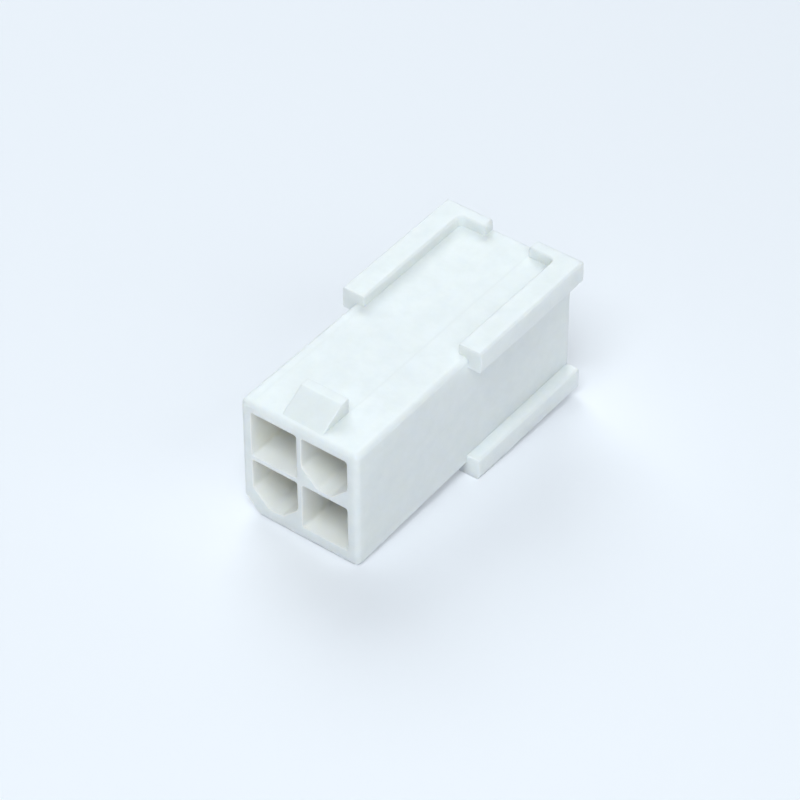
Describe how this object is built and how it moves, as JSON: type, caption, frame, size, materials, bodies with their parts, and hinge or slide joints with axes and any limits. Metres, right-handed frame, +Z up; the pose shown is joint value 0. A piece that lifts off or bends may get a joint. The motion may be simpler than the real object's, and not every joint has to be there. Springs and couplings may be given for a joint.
{
  "type": "wire to board connector housing",
  "caption": "Rectangular moulded plug housing with keyed square sockets in front, terminal chambers behind, a latch ramp on top and rails along the rear edges.",
  "frame": {"origin": "middle of the footprint, on the plane under the lower rails", "axes": "+Z up, +Y from the mating face to the wire side, +X to the right when the mating face is looked at"},
  "size_m": [0.0116, 0.0242, 0.0118],
  "materials": {
    "nylon": "natural unfilled nylon, satin off the mould"
  },
  "bodies": {
    "root": {"housing": "nylon"}
  },
  "joints": []
}
